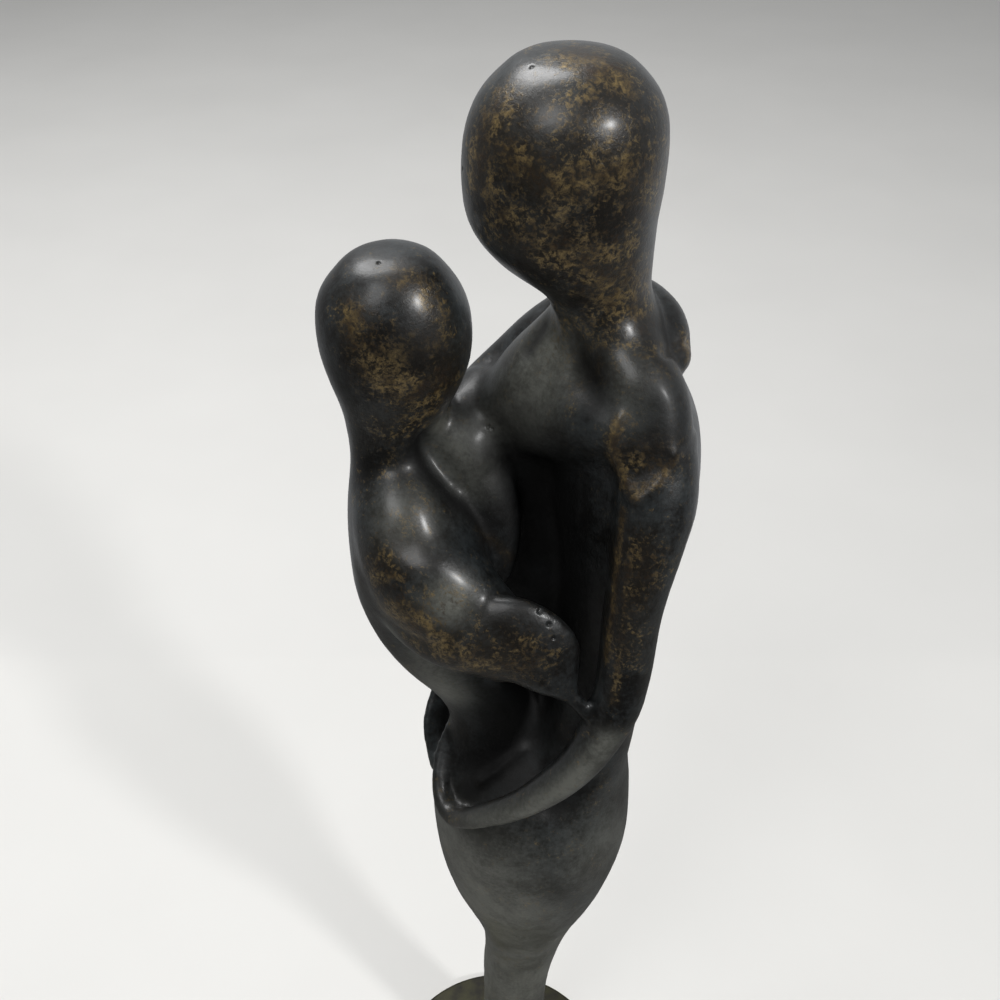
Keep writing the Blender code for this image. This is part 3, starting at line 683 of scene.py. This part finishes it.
def patinatedBronze():
    # dark sulphide patina under wax, near black with blue-grey clouds. Handling has worn it to curls of
    # golden brown above. A painted sheen of grey stands for the pale floor's reflection below and for
    # highlights, and painted shade turns some hollows and shaded places dead black, so it looks like old,
    # softly glossy leather.
    look = couple["patina"]
    material = bpy.data.materials.new("waxed dark patina on bronze")
    material.use_nodes = True
    tree = material.node_tree
    shader = tree.nodes["Principled BSDF"]
    place = addNode(tree, "TexCoord").outputs["Object"]
    # the marks for real wear, painted sheen and painted shade
    wear = {name: addNode(tree, "Attribute", {"attribute_name": name}).outputs["Fac"]
            for name in couple["wear"]}
    pattern = {}
    for name, (width, detail, rough, twist) in look["patterns"].items():
        settings = {"Scale": perMm(width), "Detail": detail, "Roughness": rough, "Distortion": twist}
        pattern[name] = addNode(tree, "TexNoise", settings, {"Vector": place}).outputs[0]

    spots = addNode(tree, "Mix", {0: look["speckShare"]}, {2: pattern["patch"], 3: pattern["speck"]})
    mottle = addNode(tree, "Math", {"operation": "ADD"}, {0: pattern["cloud"], 1: spots.outputs[0]})
    low, high = look["mottleSpan"]
    mottleShare = addNode(tree, "MapRange", {1: low, 2: high}, {0: mottle.outputs[0]})
    cold = addNode(tree, "Mix", {"data_type": "RGBA", 6: hexLinear(look["black"]),
                                 7: hexLinear(look["blueGrey"])}, {0: mottleShare.outputs[0]})
    dark = addNode(tree, "Mix", {"data_type": "RGBA", 7: hexLinear(look["warmBlack"])},
                   {0: wear["rubbed"], 6: cold.outputs[2]})
    # painted sheen: a grey laid over the patina for the floor's reflection and for highlights, more of it
    # where the mottle is strong
    low, high = look["paintedSheenSpan"]
    least, most = look["paintedSheenLift"]
    paintedSheenLift = addNode(tree, "MapRange", {1: low, 2: high, 3: least, 4: most}, {0: mottle.outputs[0]})
    paintedSheenShare = addNode(tree, "Math", {"operation": "MULTIPLY", "use_clamp": True},
                         {0: wear["paintedSheen"], 1: paintedSheenLift.outputs[0]})
    withPaintedSheen = addNode(tree, "Mix", {"data_type": "RGBA", 7: hexLinear(look["paintedSheenGrey"])},
                     {0: paintedSheenShare.outputs[0], 6: dark.outputs[2]})

    # a curl or fleck shows gold where its pattern is over a bar that rubbing lowers
    grains = addNode(tree, "Mix", {0: look["fleckShare"]}, {2: pattern["curl"], 3: pattern["fleck"]})
    low, high = look["driftSpan"]
    driftShare = addNode(tree, "MapRange", {1: low, 2: high, 3: 0.0, 4: look["looseRub"]},
                         {0: pattern["drift"]})
    worn = addNode(tree, "Math", {"operation": "ADD"}, {0: wear["rubbed"], 1: driftShare.outputs[0]})
    low, high = look["patchSpan"]
    patchLift = addNode(tree, "MapRange", {1: low, 2: high, 3: -look["patchRub"], 4: look["patchRub"]},
                        {0: pattern["patch"]})
    wornPatch = addNode(tree, "Math", {"operation": "ADD"}, {0: worn.outputs[0], 1: patchLift.outputs[0]})
    bar = addNode(tree, "MapRange", {1: 0.0, 2: 1.0, 3: look["barUnrubbed"], 4: look["barRubbed"]},
                  {0: wornPatch.outputs[0]})
    over = addNode(tree, "Math", {"operation": "SUBTRACT"}, {0: grains.outputs[0], 1: bar.outputs[0]})
    goldRaw = addNode(tree, "MapRange", {1: 0.0, 2: look["fleckEdge"], 3: 0.0, 4: look["goldMost"]},
                      {0: over.outputs[0]})
    # painted shade: where its mark is set, the gold flecks go and the wax is left off
    outsidePaintedShade = addNode(tree, "Math", {"operation": "SUBTRACT", 0: 1.0, "use_clamp": True}, {1: wear["hollow"]})
    gold = addNode(tree, "Math", {"operation": "MULTIPLY"}, {0: goldRaw.outputs[0], 1: outsidePaintedShade.outputs[0]})

    low, high = look["hueSpan"]
    hueShare = addNode(tree, "MapRange", {1: low, 2: high}, {0: pattern["hue"]})
    brown = addNode(tree, "Mix", {"data_type": "RGBA", 6: hexLinear(look["umber"]),
                                  7: hexLinear(look["gold"])}, {0: hueShare.outputs[0]})
    speckled = addNode(tree, "Mix", {"data_type": "RGBA"},
                       {0: gold.outputs[0], 6: withPaintedSheen.outputs[2], 7: brown.outputs[2]})
    # painted shade turns the colour dead black here
    colour = addNode(tree, "Mix", {"data_type": "RGBA", 6: hexLinear(look["paintedShadeBlack"])},
                     {0: outsidePaintedShade.outputs[0], 7: speckled.outputs[2]})
    tree.links.new(colour.outputs[2], shader.inputs["Base Color"])

    metal = addNode(tree, "Math", {"operation": "MULTIPLY", 1: look["goldMetal"]}, {0: gold.outputs[0]})
    tree.links.new(metal.outputs[0], shader.inputs["Metallic"])
    low, high = look["patchSpan"]
    rough = addNode(tree, "MapRange", {1: low, 2: high, 3: look["roughPolished"], 4: look["roughDull"]},
                    {0: pattern["patch"]})
    dull = addNode(tree, "Math", {"operation": "MULTIPLY_ADD", 1: look["hollowDull"]},
                   {0: wear["hollow"], 2: rough.outputs[0]})
    tree.links.new(dull.outputs[0], shader.inputs["Roughness"])
    wax = addNode(tree, "Math", {"operation": "MULTIPLY", 1: look["waxWeight"]}, {0: outsidePaintedShade.outputs[0]})
    tree.links.new(wax.outputs[0], shader.inputs["Coat Weight"])
    shader.inputs["Coat Roughness"].default_value = look["waxRough"]

    height = addNode(tree, "Math", {"operation": "MULTIPLY_ADD", 1: look["goldRise"]},
                     {0: gold.outputs[0], 2: pattern["grain"]})
    bump = addNode(tree, "Bump", {"Strength": look["grainStrength"], "Distance": look["grainDepth"]},
                   {"Height": height.outputs[0]})
    tree.links.new(bump.outputs[0], shader.inputs["Normal"])
    return material


buildCouple()
print("couple in place")

plate = {
    "sides": 192,
    "edgeRound": 1.4,         # mm
    "edgeSteps": 6,
    "nearlyOne": 1e-6,        # metres within which the turned profile's points are joined
    "wear": "#8A7434",        # rubbed metal along the rim
    "dark": "#211F1A",
    "olive": "#34331F",
    "rimWidth": 0.7,          # mm of bright edge
    "cloudWidth": 9,          # mm
    "cloudDetail": 6,
    "cloudRough": 0.65,
    "cloudSpan": (0.35, 0.65),
    "metal": 0.6,             # the thin patina lets some of the metal through
    "roughDark": 0.55,
    "roughOlive": 0.4,
    "grainWidth": 0.8,        # mm
    "grainDetail": 4,
    "grainStrength": 0.25,
    "grainDepth": 0.0002,     # metres
}


def plateBronze(radius):
    # thin cast bronze disc with a clouded brown and olive patina, satin to the eye; its rim is rubbed
    # to a thin bright line
    material = bpy.data.materials.new("olive brown patina on plate bronze")
    material.use_nodes = True
    tree = material.node_tree
    shader = tree.nodes["Principled BSDF"]
    place = addNode(tree, "TexCoord").outputs["Object"]
    cloud = addNode(tree, "TexNoise", {"Scale": perMm(plate["cloudWidth"]), "Detail": plate["cloudDetail"],
                                       "Roughness": plate["cloudRough"]}, {"Vector": place})
    low, high = plate["cloudSpan"]
    share = addNode(tree, "MapRange", {1: low, 2: high}, {0: cloud.outputs[0]})
    body = addNode(tree, "Mix", {"data_type": "RGBA", 6: hexLinear(plate["dark"]),
                                 7: hexLinear(plate["olive"])}, {0: share.outputs[0]})
    level = addNode(tree, "VectorMath", {"operation": "MULTIPLY", 1: (1, 1, 0)}, {0: place})
    fromMiddle = addNode(tree, "VectorMath", {"operation": "LENGTH"}, {0: level.outputs[0]})
    rim = addNode(tree, "MapRange", {1: radius - plate["rimWidth"] / 1000, 2: radius,
                                     "interpolation_type": "SMOOTHSTEP"}, {0: fromMiddle.outputs["Value"]})
    worn = addNode(tree, "Math", {"operation": "MULTIPLY"}, {0: rim.outputs[0], 1: share.outputs[0]})
    colour = addNode(tree, "Mix", {"data_type": "RGBA", 7: hexLinear(plate["wear"])},
                     {0: worn.outputs[0], 6: body.outputs[2]})
    tree.links.new(colour.outputs[2], shader.inputs["Base Color"])
    shader.inputs["Metallic"].default_value = plate["metal"]
    rough = addNode(tree, "MapRange", {3: plate["roughDark"], 4: plate["roughOlive"]}, {0: share.outputs[0]})
    tree.links.new(rough.outputs[0], shader.inputs["Roughness"])
    grain = addNode(tree, "TexNoise", {"Scale": perMm(plate["grainWidth"]),
                                       "Detail": plate["grainDetail"]}, {"Vector": place})
    bump = addNode(tree, "Bump", {"Strength": plate["grainStrength"], "Distance": plate["grainDepth"]},
                   {"Height": grain.outputs[0]})
    tree.links.new(bump.outputs[0], shader.inputs["Normal"])
    return material


def buildPlate():
    low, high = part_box("base_plate")
    radius, top = high[0], high[2]
    edge = plate["edgeRound"] / 1000
    profile = [(0.0, top)]
    for corner, first in ((top - edge, 90), (low[2] + edge, 0)):
        for step in range(plate["edgeSteps"] + 1):
            turn = math.radians(first - 90 * step / plate["edgeSteps"])
            profile.append((radius - edge + edge * math.cos(turn), corner + edge * math.sin(turn)))
    profile.append((0.0, low[2]))
    mesh = bmesh.new()
    line = [mesh.verts.new((r, 0, z)) for r, z in profile]
    edges = [mesh.edges.new(pair) for pair in zip(line, line[1:])]
    bmesh.ops.spin(mesh, geom=line + edges, axis=(0, 0, 1), cent=(0, 0, 0), angle=math.tau,
                   steps=plate["sides"], use_merge=True)
    bmesh.ops.remove_doubles(mesh, verts=mesh.verts, dist=plate["nearlyOne"])
    bmesh.ops.recalc_face_normals(mesh, faces=mesh.faces)
    data = bpy.data.meshes.new("turnedPlate")
    mesh.to_mesh(data)
    mesh.free()
    data.shade_smooth()
    data.materials.append(plateBronze(radius))
    item = bpy.data.objects.new("turnedPlate", data)
    bpy.context.collection.objects.link(item)
    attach(item, "root")
    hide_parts("base_plate")


buildPlate()
print("plate in place")

bpy.context.scene.view_settings.view_transform = "Standard"
